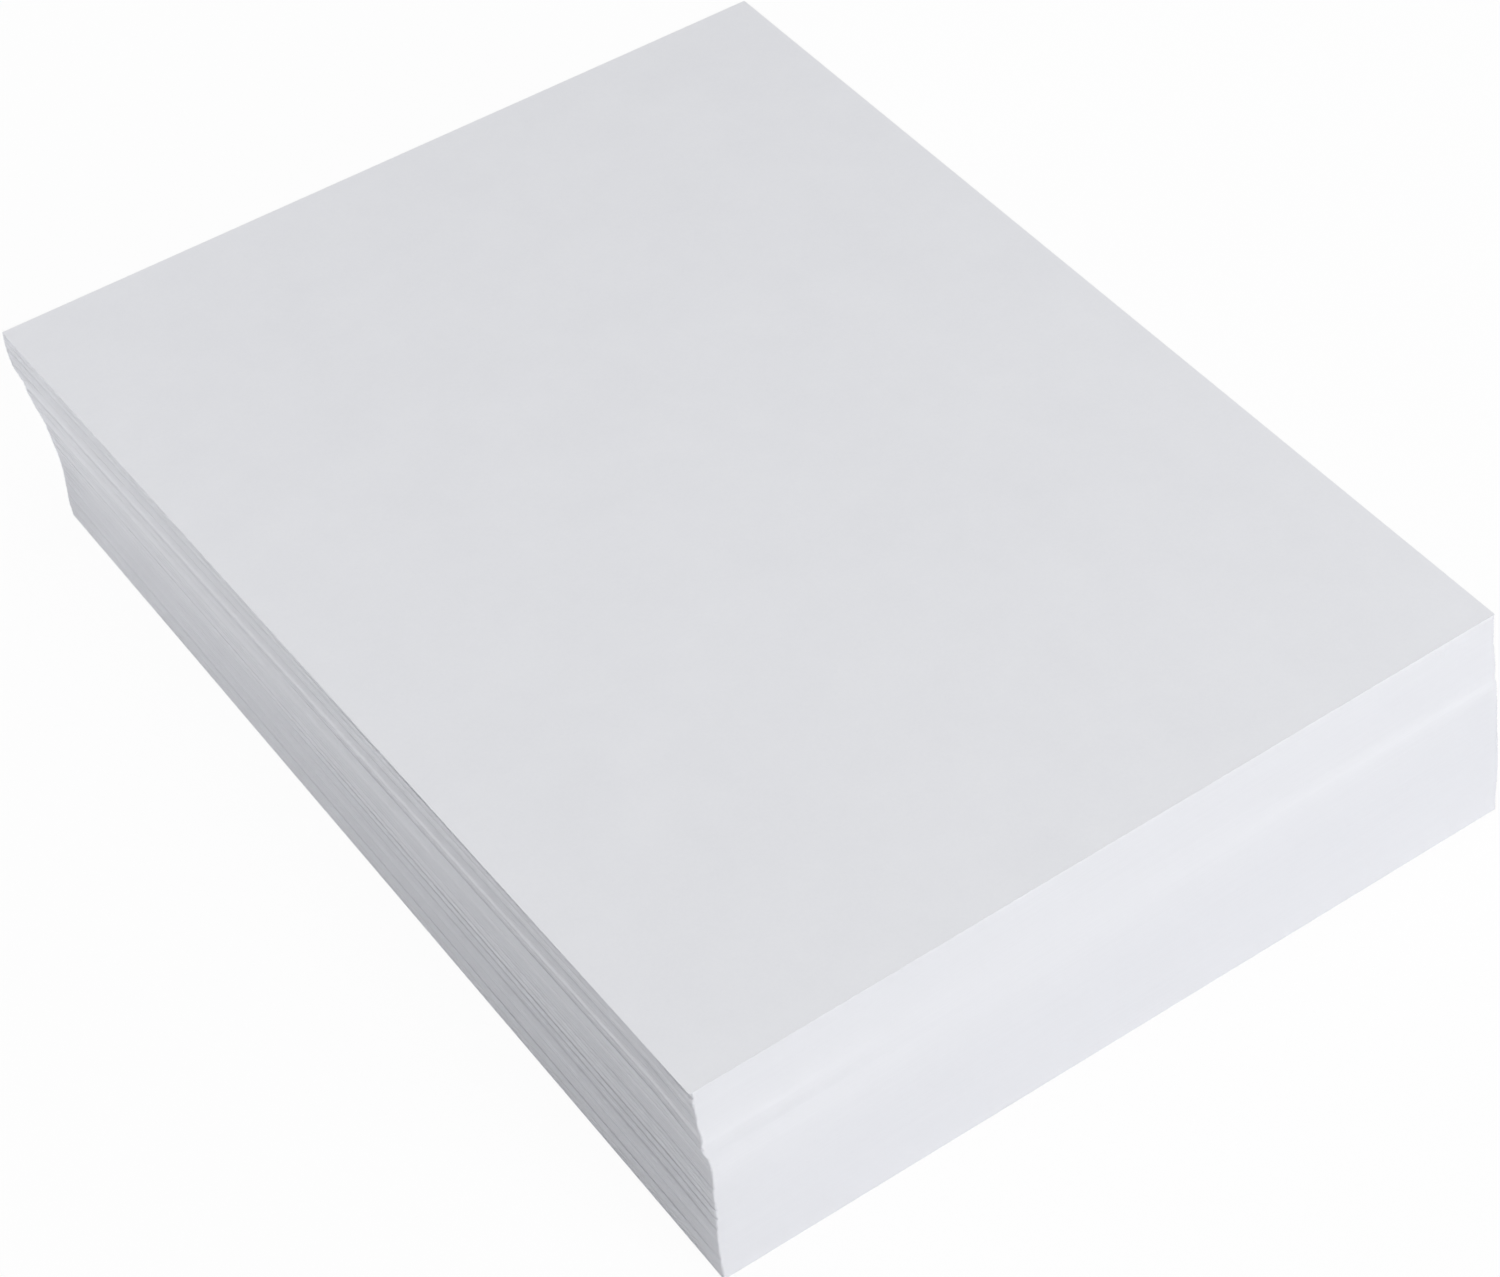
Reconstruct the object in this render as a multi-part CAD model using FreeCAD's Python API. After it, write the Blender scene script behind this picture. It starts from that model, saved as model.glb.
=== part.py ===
import FreeCAD, Part
import math
import os
import random

# One cut sheet
sheet_width = 215.9
sheet_length = 279.4
sheet_thickness = 0.118

# Sheets are counted into quires, and twenty quires make the ream
quires = 20
sheets_per_quire = 25

# The stack leans in long, slow slides. Each has the depth where it starts, the depth
# where it ends, and how far the sheets below it have gone. Depth is 0 at the top of
# the stack and 1 at the bottom. Lengths are in millimetres and turns in degrees.
lean_across = [
    (0.00, 0.19, 0.95),
    (0.19, 0.31, 1.15),
    (0.31, 0.40, 1.10),
    (0.39, 0.55, 1.20),
    (0.68, 0.88, -0.60),
    (0.90, 1.00, 0.30),
]
lean_along = [
    (0.00, 0.30, -1.70),
    (0.42, 1.00, -5.00),
]
lean_turn = [
    (0.12, 0.31, -0.34),
    (0.34, 0.38, 0.11),
    (0.40, 0.62, -0.43),
    (0.62, 0.80, -0.17),
]

# On that lean the stack wavers a little from side to side, evenly from one row to the
# next. Each row has a depth, the waver across and the turn. The two top sheets were
# put on last and lie squarer than the rest.
wavers = [
    (0.000, 0.00, 0.00),
    (0.003, 0.00, 0.00),
    (0.004, 0.08, 0.05),
    (0.060, -0.10, 0.09),
    (0.110, -0.28, 0.11),
    (0.160, -0.43, 0.09),
    (0.210, 0.10, 0.16),
    (0.240, 0.07, 0.18),
    (0.300, -0.23, 0.11),
    (0.350, -0.15, 0.15),
    (0.390, -0.13, 0.12),
    (0.430, 0.11, 0.11),
    (0.480, 0.10, 0.11),
    (0.550, -0.07, 0.17),
    (0.640, 0.25, 0.12),
    (0.710, 0.28, 0.06),
    (0.790, 0.49, 0.08),
    (0.850, 0.43, 0.09),
    (0.930, 0.24, 0.15),
    (1.000, 0.25, 0.16),
]

# No two sheets lie quite in line: the most that one strays across at its near end, the
# share of that at its far end, and the most that one strays along. They were knocked
# level on the far end.
stray_near = 0.11
stray_far_share = 0.3
stray_along = 0.03
stray_seed = 11


def slide_at(depth, slides):
    """How far a slow slide has taken the sheet at this depth."""
    total = 0.0
    for start, end, distance in slides:
        share = min(max((depth - start) / (end - start), 0.0), 1.0)
        total += distance * share * share * (3.0 - 2.0 * share)
    return total


def waver_at(depth):
    """The waver across and the turn at this depth, evenly between two rows."""
    for upper, lower in zip(wavers, wavers[1:]):
        if depth <= lower[0]:
            break
    share = (depth - upper[0]) / (lower[0] - upper[0])
    return [above + (below - above) * share for above, below in zip(upper[1:], lower[1:])]


def make_sheet(number, sheets, chance):
    """Sheet by number, counted from 0 at the bottom, where it lies in the stack."""
    depth = 1.0 - number / (sheets - 1)
    waver_across, waver_turn = waver_at(depth)
    near = chance.uniform(-stray_near, stray_near)
    far = near * stray_far_share
    across = slide_at(depth, lean_across) + waver_across + (near + far) / 2
    along = slide_at(depth, lean_along) + chance.uniform(-stray_along, stray_along)
    turn = slide_at(depth, lean_turn) + waver_turn + math.degrees((near - far) / sheet_length)

    corner = FreeCAD.Vector(-sheet_width / 2, -sheet_length / 2, 0)
    sheet = Part.makeBox(sheet_width, sheet_length, sheet_thickness, corner)
    upright = FreeCAD.Vector(0, 0, 1)
    place = FreeCAD.Vector(across, along, number * sheet_thickness)
    sheet.Placement = FreeCAD.Placement(place, FreeCAD.Rotation(upright, turn))
    return sheet


def make_quire(first, sheets, chance):
    """One quire from its first sheet up, joined where its sheets lie on each other."""
    numbers = range(first, first + sheets_per_quire)
    quire = [make_sheet(number, sheets, chance) for number in numbers]
    return quire[0].multiFuse(quire[1:]).Solids[0]


def make_ream():
    """The quires from the bottom up."""
    chance = random.Random(stray_seed)
    sheets = quires * sheets_per_quire
    return [make_quire(first, sheets, chance) for first in range(0, sheets, sheets_per_quire)]


def stand_on_origin(ream):
    """Moves the stack so that the middle of its footprint is over the origin."""
    footprint = Part.makeCompound(ream).BoundBox
    middle = FreeCAD.Vector(footprint.Center.x, footprint.Center.y, 0)
    for quire in ream:
        quire.translate(-middle)


ream = make_ream()
stand_on_origin(ream)
os.makedirs("parts", exist_ok=True)
for number, quire in enumerate(ream, start=1):
    quire.exportStep(f"parts/quire_{number:02d}.step")
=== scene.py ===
import math

import bpy
import numpy as np
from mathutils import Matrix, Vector


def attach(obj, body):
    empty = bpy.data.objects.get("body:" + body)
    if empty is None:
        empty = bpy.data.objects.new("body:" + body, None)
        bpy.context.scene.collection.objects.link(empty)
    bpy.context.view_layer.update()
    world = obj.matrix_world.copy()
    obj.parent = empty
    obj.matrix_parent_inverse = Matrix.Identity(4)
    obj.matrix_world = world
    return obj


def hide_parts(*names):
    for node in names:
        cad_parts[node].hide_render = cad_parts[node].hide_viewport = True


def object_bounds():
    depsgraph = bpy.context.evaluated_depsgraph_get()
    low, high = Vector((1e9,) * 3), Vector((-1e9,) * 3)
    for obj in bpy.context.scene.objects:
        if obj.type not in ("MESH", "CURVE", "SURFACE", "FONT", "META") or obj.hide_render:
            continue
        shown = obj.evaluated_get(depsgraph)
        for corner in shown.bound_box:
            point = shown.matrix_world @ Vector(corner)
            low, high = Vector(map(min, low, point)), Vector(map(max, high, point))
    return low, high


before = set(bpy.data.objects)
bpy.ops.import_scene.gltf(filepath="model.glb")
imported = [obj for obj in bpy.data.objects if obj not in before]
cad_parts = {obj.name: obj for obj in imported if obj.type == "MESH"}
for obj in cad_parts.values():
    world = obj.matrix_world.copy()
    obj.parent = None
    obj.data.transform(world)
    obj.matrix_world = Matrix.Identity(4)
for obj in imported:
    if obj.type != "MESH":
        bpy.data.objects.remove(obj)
cad_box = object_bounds()

# The paper
# Bleached office paper, a little blue-white, calendered but not coated. Pulp fibres
# felt into a faintly cloudy sheet with a fine tooth, and the sheets are cut in piles.


def add_node(tree, kind, values=None, **settings):
    """A node with its settings and the values of its open sockets."""
    made = tree.nodes.new(kind)
    for name, value in settings.items():
        setattr(made, name, value)
    for socket, value in (values or {}).items():
        made.inputs[socket].default_value = value
    return made


def add_sockets(tree, direction, sockets):
    """Named sockets of a node group, given as name, kind and default value."""
    for name, kind, value in sockets:
        socket = tree.interface.new_socket(name=name, in_out=direction, socket_type=kind)
        if value is not None:
            socket.default_value = value


def make_pulp_group():
    """Felted fibres: clouds of pulp and fine tooth, as a mask and a height."""
    tree = bpy.data.node_groups.new("felted pulp", "ShaderNodeTree")
    add_sockets(tree, "INPUT", [
        ("Vector", "NodeSocketVector", None),
        ("Cloud Scale", "NodeSocketFloat", 60.0),
        ("Fibre Scale", "NodeSocketFloat", 1500.0),
        ("Fibre Share", "NodeSocketFloat", 0.4),
    ])
    add_sockets(tree, "OUTPUT", [
        ("Tone", "NodeSocketFloat", None),
        ("Height", "NodeSocketFloat", None),
    ])
    given = add_node(tree, "NodeGroupInput")
    put_out = add_node(tree, "NodeGroupOutput")
    clouds = add_node(tree, "ShaderNodeTexNoise", {"Detail": 3.0, "Roughness": 0.6})
    fibres = add_node(tree, "ShaderNodeTexNoise", {"Detail": 4.0, "Distortion": 0.6})
    blend = add_node(tree, "ShaderNodeMix")
    join = tree.links.new
    join(given.outputs["Vector"], clouds.inputs["Vector"])
    join(given.outputs["Vector"], fibres.inputs["Vector"])
    join(given.outputs["Cloud Scale"], clouds.inputs["Scale"])
    join(given.outputs["Fibre Scale"], fibres.inputs["Scale"])
    join(given.outputs["Fibre Share"], blend.inputs["Factor"])
    join(clouds.outputs["Fac"], blend.inputs["A"])
    join(fibres.outputs["Fac"], blend.inputs["B"])
    join(blend.outputs["Result"], put_out.inputs["Tone"])
    join(fibres.outputs["Fac"], put_out.inputs["Height"])
    return tree


pulp = make_pulp_group()
paper_light = (0.845, 0.853, 0.885, 1.0)
paper_dark = (0.815, 0.823, 0.857, 1.0)


def make_paper(name, stretch, clouds, fibres, fibre_share, tooth):
    """Uncoated paper, its pattern stretched along each axis and raised by a tooth."""
    material = bpy.data.materials.new(name)
    material.use_nodes = True
    tree = material.node_tree
    tree.nodes.clear()
    place = add_node(tree, "ShaderNodeTexCoord")
    scaled = add_node(tree, "ShaderNodeMapping", {"Scale": stretch})
    felt = add_node(tree, "ShaderNodeGroup", node_tree=pulp)
    felt.inputs["Cloud Scale"].default_value = clouds
    felt.inputs["Fibre Scale"].default_value = fibres
    felt.inputs["Fibre Share"].default_value = fibre_share
    colour = add_node(tree, "ShaderNodeMix", data_type="RGBA")
    colour.inputs["A"].default_value = paper_dark
    colour.inputs["B"].default_value = paper_light
    spread = add_node(tree, "ShaderNodeMapRange", {"From Min": 0.3, "From Max": 0.7})
    dull = add_node(tree, "ShaderNodeMapRange", {"To Min": 0.86, "To Max": 0.74})
    bump = add_node(tree, "ShaderNodeBump", {"Strength": 0.35, "Distance": tooth})
    shader = add_node(tree, "ShaderNodeBsdfPrincipled", {"Specular IOR Level": 0.3})
    out = add_node(tree, "ShaderNodeOutputMaterial")
    join = tree.links.new
    join(place.outputs["Object"], scaled.inputs["Vector"])
    join(scaled.outputs["Vector"], felt.inputs["Vector"])
    join(felt.outputs["Tone"], spread.inputs["Value"])
    join(spread.outputs["Result"], colour.inputs["Factor"])
    join(colour.outputs["Result"], shader.inputs["Base Color"])
    join(felt.outputs["Tone"], dull.inputs["Value"])
    join(dull.outputs["Result"], shader.inputs["Roughness"])
    join(felt.outputs["Height"], bump.inputs["Height"])
    join(bump.outputs["Normal"], shader.inputs["Normal"])
    join(shader.outputs["BSDF"], out.inputs["Surface"])
    return material


# The sheets of a quire
# Twenty-five cut letter sheets, one on the other. The knife leaves them alike, and
# handling blunts their corners and lets their edges wander a hair's breadth.
# Each corner is blunted by one of a few shares, and a little air lies between two sheets.
air_share = 0.05
corner_bluntness = 0.0005
corner_kinds = (0.4, 0.7, 1.0)
long_edge_cuts = 15
short_edge_cuts = 3
weld_distance = 0.00001
edge_wander = 0.00004
wander_pattern = (25.0, 25.0, 260.0)
wander_share = (2.0, 0.5, 0.0)
cut_edges = make_paper(
    "cut edges", stretch=(6.0, 6.0, 900.0),
    clouds=4.0, fibres=9.0, fibre_share=0.35, tooth=0.00002)
sheet_faces = make_paper(
    "sheet faces", stretch=(1.0, 1.0, 1.0),
    clouds=60.0, fibres=1500.0, fibre_share=0.4, tooth=0.00001)

# On the long left side some sheets lie drawn in at the near corner, where the stack was
# held when it was fanned, and a few stand out. Each row has a depth, from 0 at the top of
# the stack to 1 at the bottom, the number of sheets, how far in they lie at the near end
# and at the far end, and the length over which that fades.
drawn_in = [
    (0.004, 10, 0.0007, 0.0001, 0.16),
    (0.024, 5, 0.0006, 0.0000, 0.25),
    (0.306, 5, 0.0006, 0.0000, 0.22),
    (0.545, 4, 0.0006, 0.0000, 0.07),
    (0.652, 4, 0.0006, 0.0000, 0.25),
    (0.661, 3, -0.0002, 0.0000, 0.25),
    (0.692, 6, 0.0009, 0.0000, 0.23),
    (0.736, 9, 0.0005, 0.0000, 0.22),
    (0.866, 14, 0.0004, 0.0001, 0.30),
]

# Between its corners the same side waves in and out on its way down. Each row has a
# depth and how far in the side lies there towards its near end and its far end. Within
# the hold of a corner the wave dies out, and only a share of the drawing in is left.
side_waves = [
    (0.000, 0.0000, 0.0000),
    (0.003, 0.0000, 0.0000),
    (0.004, 0.0001, 0.0000),
    (0.060, 0.0007, 0.0001),
    (0.110, 0.0009, 0.0001),
    (0.156, 0.0009, 0.0002),
    (0.170, 0.0007, 0.0001),
    (0.205, 0.0007, 0.0001),
    (0.235, 0.0008, 0.0001),
    (0.255, 0.0010, 0.0001),
    (0.300, 0.0012, 0.0001),
    (0.340, 0.0009, 0.0000),
    (0.390, 0.0007, -0.0001),
    (0.450, 0.0006, 0.0000),
    (0.520, 0.0005, 0.0000),
    (0.580, 0.0006, 0.0000),
    (0.660, 0.0004, 0.0000),
    (0.720, 0.0004, 0.0000),
    (0.800, 0.0000, -0.0001),
    (0.850, -0.0002, -0.0001),
    (0.900, 0.0001, 0.0000),
    (0.950, 0.0002, 0.0000),
    (1.000, 0.0000, 0.0000),
]
corner_hold = 0.012
corner_share = 0.4

# The short front side was knocked on the table, so its edges show almost no lines. Each
# sheet's turn is evened with a few neighbours, and its place along with many more.
turn_reach = 8
along_reach = 60


def read_sheets(quire):
    """Each sheet's middle, turn, width and length, from the walls of the quire's solid."""
    mesh = quire.data
    mesh.calc_loop_triangles()
    points = np.array([vertex.co for vertex in mesh.vertices])
    corners = np.array([triangle.vertices for triangle in mesh.loop_triangles])
    normals = np.array([triangle.normal for triangle in mesh.loop_triangles])
    walls = points[corners[np.abs(normals[:, 2]) < 0.5]]
    levels = np.unique(np.round(walls[:, :, 2], 6))
    sheets = []
    for low, high in zip(levels, levels[1:]):
        middle = walls[:, :, 2].mean(axis=1)
        wall = walls[(middle > low) & (middle < high)].reshape(-1, 3)
        near, right, far = (wall[np.argmax(wall @ way)] for way in
                            ((-1, -1, 0), (1, -1, 0), (-1, 1, 0)))
        centre = (right + far) / 2
        along = right - near
        turn = math.atan2(along[1], along[0])
        size = (math.hypot(*along[:2]), math.hypot(*(far - near)[:2]))
        sheets.append(((centre[0], centre[1], low), turn, size, high - low))
    return sheets


def evened(values, reach):
    """The running mean over this many neighbours each way, mirrored through the ends."""
    values = np.array(values)
    before = 2 * values[0] - values[reach:0:-1]
    after = 2 * values[-1] - values[-2:-reach - 2:-1]
    run = np.concatenate([before, values, after])
    return np.convolve(run, np.full(2 * reach + 1, 1 / (2 * reach + 1)), "valid")


def knock_front_level(quires):
    """The quires with their front edges level, each sheet with how far its near end moved."""
    places, turns, sizes, pitches = zip(*(sheet for quire in quires for sheet in quire))
    level_turns = evened(turns, turn_reach)
    level_along = evened([place[1] for place in places], along_reach)
    level_places = [(place[0], along, place[2]) for place, along in zip(places, level_along)]
    steps = (np.array(turns) - level_turns) * sizes[0][1] / 2
    sheets = list(zip(level_places, level_turns, sizes, pitches, steps))
    ends = np.cumsum([len(quire) for quire in quires])
    return [sheets[end - len(quire):end] for quire, end in zip(quires, ends)]


def draw_of(depth, pitch_share):
    """For the sheet at this depth: the numbers that move its left edge in."""
    near_in, far_in, fade = 0.0, 0.0, 0.05
    for top, count, near, far, length in drawn_in:
        if top <= depth < top + count * pitch_share:
            near_in, far_in, fade = near, far, length
    depths, near_waves, far_waves = zip(*side_waves)
    near_wave = float(np.interp(depth, depths, near_waves))
    far_wave = float(np.interp(depth, depths, far_waves))
    return near_in, far_in, fade, near_wave, far_wave


def make_cut_sheet(tree, given, bluntness):
    """Nodes for one closed sheet about the origin, its corners blunted by this share."""
    join = tree.links.new
    outline = add_node(tree, "GeometryNodeCurvePrimitiveQuadrilateral")
    cuts = add_node(tree, "GeometryNodeSubdivideCurve")
    side = add_node(tree, "GeometryNodeInputIndex")
    odd = add_node(tree, "ShaderNodeMath", {1: 2.0}, operation="MODULO")
    spaced = add_node(tree, "ShaderNodeMapRange",
                      {"To Min": short_edge_cuts, "To Max": long_edge_cuts})
    radius = add_node(tree, "ShaderNodeMath", {1: bluntness}, operation="MULTIPLY")
    blunt = add_node(tree, "GeometryNodeFilletCurve", {"Count": 2}, mode="POLY")
    face = add_node(tree, "GeometryNodeFillCurve", mode="NGONS")
    raised = add_node(tree, "GeometryNodeExtrudeMesh", {"Individual": False}, mode="FACES")
    upwards = add_node(tree, "ShaderNodeCombineXYZ")
    under = add_node(tree, "GeometryNodeFlipFaces")
    both = add_node(tree, "GeometryNodeJoinGeometry")
    closed = add_node(tree, "GeometryNodeMergeByDistance", {"Distance": weld_distance})
    join(given.outputs["Sheet Width"], outline.inputs["Width"])
    join(given.outputs["Sheet Length"], outline.inputs["Height"])
    join(outline.outputs["Curve"], cuts.inputs["Curve"])
    join(side.outputs["Index"], odd.inputs[0])
    join(odd.outputs["Value"], spaced.inputs["Value"])
    join(spaced.outputs["Result"], cuts.inputs["Cuts"])
    join(given.outputs["Corner Bluntness"], radius.inputs[0])
    join(radius.outputs["Value"], blunt.inputs["Radius"])
    join(cuts.outputs["Curve"], blunt.inputs["Curve"])
    join(blunt.outputs["Curve"], face.inputs["Curve"])
    join(face.outputs["Mesh"], raised.inputs["Mesh"])
    join(face.outputs["Mesh"], under.inputs["Mesh"])
    join(given.outputs["Sheet Thickness"], upwards.inputs["Z"])
    join(upwards.outputs["Vector"], raised.inputs["Offset"])
    join(raised.outputs["Mesh"], both.inputs["Geometry"])
    join(under.outputs["Mesh"], both.inputs["Geometry"])
    join(both.outputs["Geometry"], closed.inputs["Geometry"])
    return closed


def draw_left_edges(tree, given):
    """Nodes that move the left edge of each sheet in, as its own numbers say."""
    join = tree.links.new
    where = add_node(tree, "GeometryNodeInputPosition")
    apart = add_node(tree, "ShaderNodeSeparateXYZ")
    left = add_node(tree, "FunctionNodeCompare", operation="LESS_THAN")
    half = add_node(tree, "ShaderNodeMath", {1: 0.5}, operation="MULTIPLY")
    join(where.outputs["Position"], apart.inputs["Vector"])
    join(apart.outputs["X"], left.inputs["A"])
    join(given.outputs["Sheet Length"], half.inputs[0])

    fade = add_node(tree, "GeometryNodeInputNamedAttribute", {"Name": "fade"})
    ends = []
    for label, operation in (("near in", "ADD"), ("far in", "SUBTRACT")):
        distance = add_node(tree, "ShaderNodeMath", operation=operation)
        fading = add_node(tree, "ShaderNodeMapRange", {"To Min": 1.0, "To Max": 0.0},
                          interpolation_type="SMOOTHSTEP")
        draw = add_node(tree, "GeometryNodeInputNamedAttribute", {"Name": label})
        faded = add_node(tree, "ShaderNodeMath", operation="MULTIPLY")
        join(half.outputs["Value"], distance.inputs[0])
        join(apart.outputs["Y"], distance.inputs[1])
        join(distance.outputs["Value"], fading.inputs["Value"])
        join(fade.outputs["Attribute"], fading.inputs["From Max"])
        join(fading.outputs["Result"], faded.inputs[0])
        join(draw.outputs["Attribute"], faded.inputs[1])
        ends.append((distance, faded))

    (from_near, near_in), (from_far, far_in) = ends
    near_wave = add_node(tree, "GeometryNodeInputNamedAttribute", {"Name": "near wave"})
    far_wave = add_node(tree, "GeometryNodeInputNamedAttribute", {"Name": "far wave"})
    wave = add_node(tree, "ShaderNodeMapRange")
    nearest = add_node(tree, "ShaderNodeMath", operation="MINIMUM")
    held = add_node(tree, "ShaderNodeMapRange", {"From Max": corner_hold},
                    interpolation_type="SMOOTHSTEP")
    grip = add_node(tree, "ShaderNodeMapRange", {"To Min": corner_share, "To Max": 1.0})
    both_ends = add_node(tree, "ShaderNodeMath", operation="ADD")
    gripped = add_node(tree, "ShaderNodeMath", operation="MULTIPLY")
    inwards = add_node(tree, "ShaderNodeMath", operation="MULTIPLY_ADD")
    sideways = add_node(tree, "ShaderNodeCombineXYZ")
    drawn = add_node(tree, "GeometryNodeSetPosition")
    join(from_near.outputs["Value"], wave.inputs["Value"])
    join(given.outputs["Sheet Length"], wave.inputs["From Max"])
    join(near_wave.outputs["Attribute"], wave.inputs["To Min"])
    join(far_wave.outputs["Attribute"], wave.inputs["To Max"])
    join(from_near.outputs["Value"], nearest.inputs[0])
    join(from_far.outputs["Value"], nearest.inputs[1])
    join(nearest.outputs["Value"], held.inputs["Value"])
    join(near_in.outputs["Value"], both_ends.inputs[0])
    join(far_in.outputs["Value"], both_ends.inputs[1])
    join(held.outputs["Result"], grip.inputs["Value"])
    join(both_ends.outputs["Value"], gripped.inputs[0])
    join(grip.outputs["Result"], gripped.inputs[1])
    join(wave.outputs["Result"], inwards.inputs[0])
    join(held.outputs["Result"], inwards.inputs[1])
    join(gripped.outputs["Value"], inwards.inputs[2])
    join(inwards.outputs["Value"], sideways.inputs["X"])
    join(left.outputs["Result"], drawn.inputs["Selection"])
    join(sideways.outputs["Vector"], drawn.inputs["Offset"])
    return drawn


def make_quire_tree():
    """Lays a sheet on each given point, turned as the point says, with blunted corners."""
    tree = bpy.data.node_groups.new("sheets of a quire", "GeometryNodeTree")
    add_sockets(tree, "INPUT", [
        ("Geometry", "NodeSocketGeometry", None),
        ("Sheet Width", "NodeSocketFloat", 0.2159),
        ("Sheet Length", "NodeSocketFloat", 0.2794),
        ("Sheet Thickness", "NodeSocketFloat", 0.0001),
        ("Corner Bluntness", "NodeSocketFloat", 0.001),
        ("Edge Wander", "NodeSocketFloat", 0.0001),
        ("Cut Edge", "NodeSocketMaterial", None),
        ("Sheet Face", "NodeSocketMaterial", None),
        ("Seed", "NodeSocketInt", 0),
    ])
    add_sockets(tree, "OUTPUT", [("Geometry", "NodeSocketGeometry", None)])
    join = tree.links.new
    given = add_node(tree, "NodeGroupInput")
    kinds = add_node(tree, "GeometryNodeJoinGeometry")
    for share in corner_kinds:
        sheet = make_cut_sheet(tree, given, share)
        one = add_node(tree, "GeometryNodeGeometryToInstance")
        join(sheet.outputs["Geometry"], one.inputs["Geometry"])
        join(one.outputs["Instances"], kinds.inputs["Geometry"])
    pick = add_node(tree, "FunctionNodeRandomValue", data_type="INT")
    pick.inputs["Max"].default_value = len(corner_kinds) - 1
    turn = add_node(tree, "GeometryNodeInputNamedAttribute", {"Name": "turn"})
    spin = add_node(tree, "ShaderNodeCombineXYZ")
    laid = add_node(tree, "GeometryNodeInstanceOnPoints", {"Pick Instance": True})
    join(given.outputs["Seed"], pick.inputs["Seed"])
    join(turn.outputs["Attribute"], spin.inputs["Z"])
    join(given.outputs["Geometry"], laid.inputs["Points"])
    join(kinds.outputs["Geometry"], laid.inputs["Instance"])
    join(pick.outputs[2], laid.inputs["Instance Index"])
    join(spin.outputs["Vector"], laid.inputs["Rotation"])

    real = add_node(tree, "GeometryNodeRealizeInstances")
    where = add_node(tree, "GeometryNodeInputPosition")
    squeezed = add_node(tree, "ShaderNodeVectorMath", operation="MULTIPLY")
    squeezed.inputs[1].default_value = wander_pattern
    drift = add_node(tree, "ShaderNodeTexNoise", {"Scale": 1.0, "Detail": 1.0})
    centred = add_node(tree, "ShaderNodeVectorMath", operation="SUBTRACT")
    centred.inputs[1].default_value = (0.5, 0.5, 0.5)
    flat = add_node(tree, "ShaderNodeVectorMath", operation="MULTIPLY")
    flat.inputs[1].default_value = wander_share
    wander = add_node(tree, "ShaderNodeVectorMath", operation="SCALE")
    moved = add_node(tree, "GeometryNodeSetPosition")
    drawn = draw_left_edges(tree, given)
    edged = add_node(tree, "GeometryNodeSetMaterial")
    faced = add_node(tree, "GeometryNodeSetMaterial")
    lie = add_node(tree, "GeometryNodeInputNormal")
    upright = add_node(tree, "ShaderNodeSeparateXYZ")
    level = add_node(tree, "ShaderNodeMath", operation="ABSOLUTE")
    flat_face = add_node(tree, "FunctionNodeCompare", {"B": 0.5}, operation="GREATER_THAN")
    put_out = add_node(tree, "NodeGroupOutput")
    join(laid.outputs["Instances"], real.inputs["Geometry"])
    join(where.outputs["Position"], squeezed.inputs[0])
    join(squeezed.outputs["Vector"], drift.inputs["Vector"])
    join(drift.outputs["Color"], centred.inputs[0])
    join(centred.outputs["Vector"], flat.inputs[0])
    join(flat.outputs["Vector"], wander.inputs[0])
    join(given.outputs["Edge Wander"], wander.inputs["Scale"])
    join(real.outputs["Geometry"], moved.inputs["Geometry"])
    join(wander.outputs["Vector"], moved.inputs["Offset"])
    join(moved.outputs["Geometry"], drawn.inputs["Geometry"])
    join(drawn.outputs["Geometry"], edged.inputs["Geometry"])
    join(given.outputs["Cut Edge"], edged.inputs["Material"])
    join(edged.outputs["Geometry"], faced.inputs["Geometry"])
    join(lie.outputs["Normal"], upright.inputs["Vector"])
    join(upright.outputs["Z"], level.inputs[0])
    join(level.outputs["Value"], flat_face.inputs["A"])
    join(flat_face.outputs["Result"], faced.inputs["Selection"])
    join(given.outputs["Sheet Face"], faced.inputs["Material"])
    join(faced.outputs["Geometry"], put_out.inputs["Geometry"])
    return tree


def socket_id(tree, name):
    """The identifier that a modifier knows this input by."""
    for item in tree.interface.items_tree:
        if item.item_type == "SOCKET" and item.in_out == "INPUT" and item.name == name:
            return item.identifier
    raise KeyError(name)


def lay_sheets(name, sheets, seed):
    """A plain mesh of these sheets, laid by the quire's node tree."""
    spots, turns, sizes, pitches, steps = zip(*sheets)
    width, length = sizes[0]
    pitch = pitches[0]
    draws = []
    for spot, step in zip(spots, steps):
        depth = 1 - (spot[2] + pitch / 2) / stack_height
        near_in, far_in, fade, near_wave, far_wave = draw_of(depth, pitch / stack_height)
        draws.append((near_in, far_in, fade, near_wave + step, far_wave - step))
    columns = {"turn": turns}
    columns.update(zip(("near in", "far in", "fade", "near wave", "far wave"), zip(*draws)))
    places = bpy.data.meshes.new(name + " places")
    places.from_pydata(spots, [], [])
    for label, column in columns.items():
        places.attributes.new(label, "FLOAT", "POINT").data.foreach_set("value", column)
    points = bpy.data.objects.new(name + " places", places)
    bpy.context.scene.collection.objects.link(points)
    laying = points.modifiers.new("lay sheets", "NODES")
    laying.node_group = quire_tree
    inputs = {
        "Sheet Width": width,
        "Sheet Length": length,
        "Sheet Thickness": pitch * (1 - air_share),
        "Corner Bluntness": corner_bluntness,
        "Edge Wander": edge_wander,
        "Cut Edge": cut_edges,
        "Sheet Face": sheet_faces,
        "Seed": seed,
    }
    for label, value in inputs.items():
        laying[socket_id(quire_tree, label)] = value
    bpy.context.view_layer.update()
    evaluated = points.evaluated_get(bpy.context.evaluated_depsgraph_get())
    mesh = bpy.data.meshes.new_from_object(evaluated)
    mesh.name = name
    piece = bpy.data.objects.new(name, mesh)
    bpy.context.scene.collection.objects.link(piece)
    bpy.data.objects.remove(points)
    return piece


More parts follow.
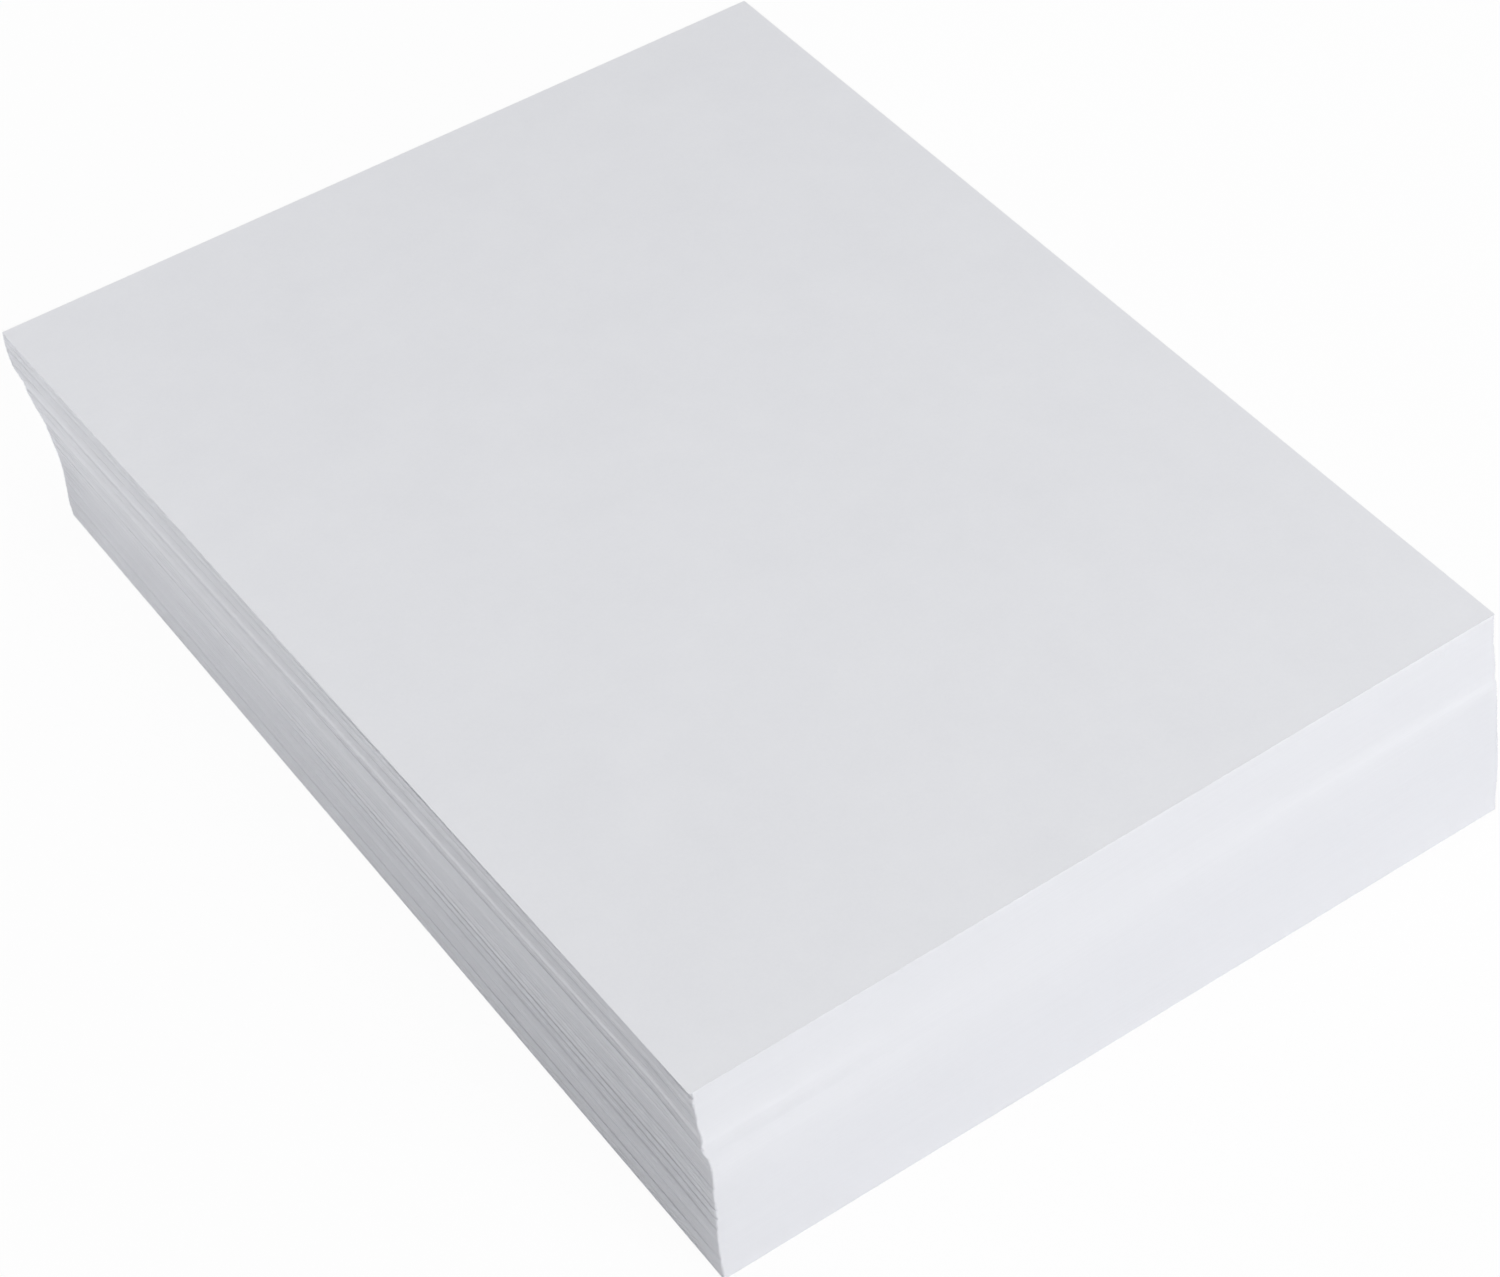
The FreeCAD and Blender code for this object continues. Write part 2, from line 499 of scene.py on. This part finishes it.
stack_height = cad_box[1][2]
quire_tree = make_quire_tree()
node_names = sorted(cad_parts)
quires = knock_front_level([read_sheets(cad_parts[name]) for name in node_names])
for order, (node_name, sheets) in enumerate(zip(node_names, quires)):
    quire = lay_sheets(node_name + "_sheets", sheets, order)
    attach(quire, "root")
    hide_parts(node_name)

# The studio
# A white table in a dim white tent, with two soft lamps before the stack's short front
# side, one to its right, one overhead and a small one by its far left corner. The table
# shows white to the lens and keeps a faint shadow under the stack. Each lamp has its
# place, the length of its sides and its power.
table_share_lit = 0.05
tent_strength = 0.11
middle_of_stack = (0, 0, 0.03)
lamps = [
    ("low front lamp", (0.2, -1.5, 0.6), 0.9, 12.0),
    ("high front lamp", (0.35, -1.25, 1.35), 1.1, 6.7),
    ("right lamp", (1.5, 0.2, 0.8), 0.9, 10.4),
    ("top lamp", (0, 0, 1.7), 1.0, 6.6),
    ("far corner lamp", (-0.75, 0.55, 0.35), 0.5, 3.8),
]


def make_table():
    """A wide white table top, at the height that the bottom sheet lies on."""
    half = 3.0
    mesh = bpy.data.meshes.new("table")
    corners = [(-half, -half, 0), (half, -half, 0), (half, half, 0), (-half, half, 0)]
    mesh.from_pydata(corners, [], [(0, 1, 2, 3)])
    table = bpy.data.objects.new("table", mesh)
    bpy.context.scene.collection.objects.link(table)
    material = bpy.data.materials.new("white table")
    material.use_nodes = True
    tree = material.node_tree
    tree.nodes.clear()
    ray = add_node(tree, "ShaderNodeLightPath")
    lens_or_shine = add_node(tree, "ShaderNodeMath", operation="MAXIMUM")
    seen = add_node(tree, "ShaderNodeMath", operation="MAXIMUM")
    share = add_node(tree, "ShaderNodeMath", {1: 1 - table_share_lit}, operation="MULTIPLY")
    lit = add_node(tree, "ShaderNodeBsdfDiffuse", {"Color": (0.85, 0.85, 0.86, 1.0)})
    white = add_node(tree, "ShaderNodeEmission", {"Color": (1, 1, 1, 1), "Strength": 1.0})
    mixed = add_node(tree, "ShaderNodeMixShader")
    out = add_node(tree, "ShaderNodeOutputMaterial")
    join = tree.links.new
    join(ray.outputs["Is Camera Ray"], lens_or_shine.inputs[0])
    join(ray.outputs["Is Glossy Ray"], lens_or_shine.inputs[1])
    join(lens_or_shine.outputs["Value"], seen.inputs[0])
    join(ray.outputs["Is Transmission Ray"], seen.inputs[1])
    join(seen.outputs["Value"], share.inputs[0])
    join(share.outputs["Value"], mixed.inputs["Fac"])
    join(lit.outputs["BSDF"], mixed.inputs[1])
    join(white.outputs["Emission"], mixed.inputs[2])
    join(mixed.outputs["Shader"], out.inputs["Surface"])
    mesh.materials.append(material)
    return table


def make_tent(strength):
    """Even light from all round, white where the lens sees it."""
    world = bpy.data.worlds.new("tent")
    world.use_nodes = True
    bpy.context.scene.world = world
    tree = world.node_tree
    tree.nodes.clear()
    ray = add_node(tree, "ShaderNodeLightPath")
    plain_white = (1, 1, 1, 1)
    soft = add_node(tree, "ShaderNodeBackground",
                    {"Color": plain_white, "Strength": strength})
    white = add_node(tree, "ShaderNodeBackground", {"Color": plain_white, "Strength": 1.0})
    mixed = add_node(tree, "ShaderNodeMixShader")
    out = add_node(tree, "ShaderNodeOutputWorld")
    join = tree.links.new
    join(ray.outputs["Is Camera Ray"], mixed.inputs["Fac"])
    join(soft.outputs["Background"], mixed.inputs[1])
    join(white.outputs["Background"], mixed.inputs[2])
    join(mixed.outputs["Shader"], out.inputs["Surface"])


def hang_lamp(name, place, aim, size, power):
    """A square soft lamp at a place, turned towards a point."""
    light = bpy.data.lights.new(name, "AREA")
    light.shape = "SQUARE"
    light.size = size
    light.energy = power
    lamp = bpy.data.objects.new(name, light)
    lamp.location = place
    lamp.rotation_euler = (Vector(aim) - Vector(place)).to_track_quat("-Z", "Y").to_euler()
    bpy.context.scene.collection.objects.link(lamp)


make_table()
make_tent(tent_strength)
for name, place, size, power in lamps:
    hang_lamp(name, place, middle_of_stack, size, power)

# The camera
# It stands off the near corner of the stack and looks down at it through a long lens,
# a little off its axis, so that the stack fills the picture as in the photo.
camera_place = (-0.3497, -0.5031, 0.6408)
camera_turn = (44.142, -0.276, -37.357)
focal_length = 89.26
frame_shift = (-0.0832, -0.0107)

lens = bpy.data.cameras.new("camera")
lens.lens = focal_length
lens.sensor_width = 36.0
lens.sensor_fit = "HORIZONTAL"
lens.shift_x, lens.shift_y = frame_shift
lens.clip_start = 0.01
camera = bpy.data.objects.new("camera", lens)
camera.location = camera_place
camera.rotation_euler = [math.radians(angle) for angle in camera_turn]
bpy.context.scene.collection.objects.link(camera)
bpy.context.scene.camera = camera
bpy.context.scene.view_settings.view_transform = "Standard"
